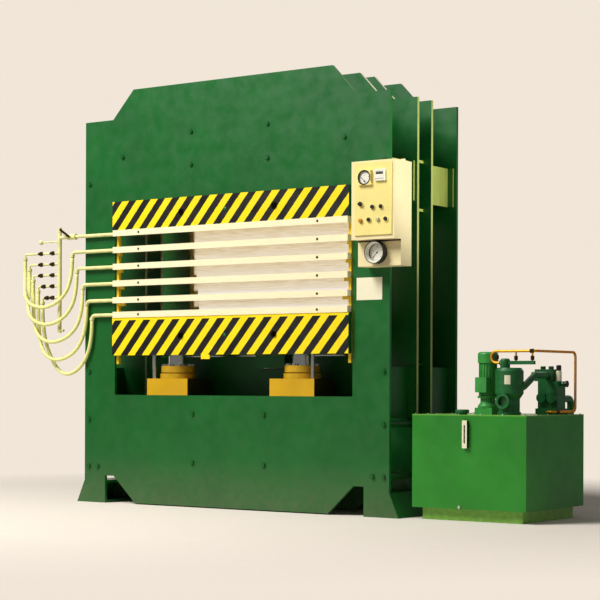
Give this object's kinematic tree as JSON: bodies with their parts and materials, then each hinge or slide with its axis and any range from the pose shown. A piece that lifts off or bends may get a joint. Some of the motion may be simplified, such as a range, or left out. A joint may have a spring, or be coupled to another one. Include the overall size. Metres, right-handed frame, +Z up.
{
  "type": "cold press",
  "caption": "Frame-plate hydraulic press with hose-fed platens, step racks, striped bolster, control box and a free-standing power unit.",
  "frame": {"origin": "on the floor, centre of the four anchor holes of the frame's feet", "axes": "+X to the right seen from the front, +Y to the back, +Z up"},
  "size_m": [5.427, 1.4953, 3.85],
  "materials": {
    "frame_green": "gloss machine green",
    "bolt_green": "gloss machine green over hex heads",
    "hazard_paint": "yellow with black slanting stripes on front and back",
    "platen_steel": "ground steel",
    "rack_yellow": "yellow paint",
    "cylinder_yellow": "yellow paint",
    "bright_steel": "polished",
    "pipe_cream": "cream paint",
    "lever_steel": "plated",
    "hose_cream": "cream rubber",
    "cabinet_cream": "cream paint",
    "meter_black": "black",
    "pointer_red": "red",
    "timer_white": "white",
    "button_dark": "dark",
    "lamp_amber": "amber",
    "tank_green": "gloss machine green",
    "gauge_black": "black surround",
    "unit_green": "dark machine green",
    "knob_black": "black",
    "copper": "bright copper",
    "oil_pipe_steel": "dark machine green"
  },
  "bodies": {
    "press": {"frame_plate_1": "frame_green", "frame_plate_2": "frame_green", "frame_plate_3": "frame_green", "frame_plate_4": "frame_green", "web_plates": "frame_green", "frame_spacers": "frame_green", "feet": "frame_green", "frame_bolts": "bolt_green", "upper_beam": "hazard_paint", "platen_1": "platen_steel", "step_racks": "rack_yellow", "cylinder_seats": "rack_yellow", "cylinder_barrels": "cylinder_yellow", "gland_rings": "cylinder_yellow", "stop_rods": "bright_steel", "gland_bolts": "bright_steel", "supply_pipe": "pipe_cream", "header": "pipe_cream", "hose_1": "hose_cream", "hose_2": "hose_cream", "hose_3": "hose_cream", "hose_4": "hose_cream", "hose_5": "hose_cream", "cabinet": "cabinet_cream", "gauge_box": "cabinet_cream", "pressure_gauge": "meter_black", "tank": "tank_green", "tank_lid": "tank_green", "level_gauge": "gauge_black", "filler_cap": "unit_green", "motor": "unit_green", "pump_unit": "unit_green", "valve_block": "unit_green", "copper_pipes": "copper", "main_oil_pipe": "oil_pipe_steel"},
    "bolster": {"bolster": "hazard_paint", "rams": "bright_steel", "platen_6": "platen_steel", "platen_pipe_6": "pipe_cream"},
    "platen_2": {"platen_2": "platen_steel", "platen_pipe_2": "pipe_cream"},
    "platen_3": {"platen_3": "platen_steel", "platen_pipe_3": "pipe_cream"},
    "platen_4": {"platen_4": "platen_steel", "platen_pipe_4": "pipe_cream"},
    "platen_5": {"platen_5": "platen_steel", "platen_pipe_5": "pipe_cream"},
    "door": {"cabinet_door": "cabinet_cream", "meter": "meter_black", "timer": "timer_white", "lamps": "lamp_amber"},
    "meter_pointer": {"meter_pointer": "pointer_red"},
    "selector": {"selector": "meter_black"},
    "button_1": {"button_1": "button_dark"},
    "button_2": {"button_2": "button_dark"},
    "button_3": {"button_3": "button_dark"},
    "button_4": {"button_4": "button_dark"},
    "gauge_pointer": {"gauge_pointer": "pointer_red"},
    "valve_lever": {"valve_lever": "lever_steel"},
    "relief_knob": {"relief_knob": "knob_black"}
  },
  "joints": [
    {"name": "bolster_lift", "type": "slide", "parent": "press", "child": "bolster", "axis": [0, 0, 1], "range_m": [0, 0.47], "deforming": ["hose_5"]},
    {"name": "platen_2_lift", "type": "slide", "parent": "press", "child": "platen_2", "axis": [0, 0, 1], "range_m": [0, 0.098], "deforming": ["hose_1"]},
    {"name": "platen_3_lift", "type": "slide", "parent": "press", "child": "platen_3", "axis": [0, 0, 1], "range_m": [0, 0.196], "deforming": ["hose_2"]},
    {"name": "platen_4_lift", "type": "slide", "parent": "press", "child": "platen_4", "axis": [0, 0, 1], "range_m": [0, 0.294], "deforming": ["hose_3"]},
    {"name": "platen_5_lift", "type": "slide", "parent": "press", "child": "platen_5", "axis": [0, 0, 1], "range_m": [0, 0.392], "deforming": ["hose_4"]},
    {"name": "door_hinge", "type": "hinge", "parent": "press", "child": "door", "pos_m": [1.5195, -0.8405, 2.649], "axis": [0, 0, -1], "range_deg": [0, 110]},
    {"name": "meter_pointer_swing", "type": "hinge", "parent": "door", "child": "meter_pointer", "pos_m": [1.634, -0.858, 2.79275], "axis": [0, 1, 0], "range_deg": [0, 90]},
    {"name": "selector_turn", "type": "hinge", "parent": "door", "child": "selector", "pos_m": [1.59, -0.86, 2.609], "axis": [0, 1, 0], "range_deg": [-45, 45]},
    {"name": "button_1_press", "type": "slide", "parent": "door", "child": "button_1", "axis": [0, 1, 0], "range_m": [0, 0.005], "stiffness_N_per_m": 600, "springref_m": -0.002},
    {"name": "button_2_press", "type": "slide", "parent": "door", "child": "button_2", "axis": [0, 1, 0], "range_m": [0, 0.005], "stiffness_N_per_m": 600, "springref_m": -0.002},
    {"name": "button_3_press", "type": "slide", "parent": "door", "child": "button_3", "axis": [0, 1, 0], "range_m": [0, 0.005], "stiffness_N_per_m": 600, "springref_m": -0.002},
    {"name": "button_4_press", "type": "slide", "parent": "door", "child": "button_4", "axis": [0, 1, 0], "range_m": [0, 0.005], "stiffness_N_per_m": 600, "springref_m": -0.002},
    {"name": "gauge_pointer_swing", "type": "hinge", "parent": "press", "child": "gauge_pointer", "pos_m": [1.685, -0.743, 2.211], "axis": [0, 1, 0], "range_deg": [0, 270]},
    {"name": "valve_lever_turn", "type": "hinge", "parent": "press", "child": "valve_lever", "pos_m": [-1.84, -0.644, 2.512], "axis": [0, 1, 0], "range_deg": [0, 90]},
    {"name": "relief_knob_turn", "type": "hinge", "parent": "press", "child": "relief_knob", "pos_m": [2.915, 0.232, 1.128], "axis": [1, 0, 0], "range_deg": [0, 360]}
  ],
  "couplings": [
    {"joint": "platen_2_lift", "follows": "bolster_lift", "ratio": 0.20833},
    {"joint": "platen_3_lift", "follows": "bolster_lift", "ratio": 0.41667},
    {"joint": "platen_4_lift", "follows": "bolster_lift", "ratio": 0.625},
    {"joint": "platen_5_lift", "follows": "bolster_lift", "ratio": 0.83333}
  ]
}
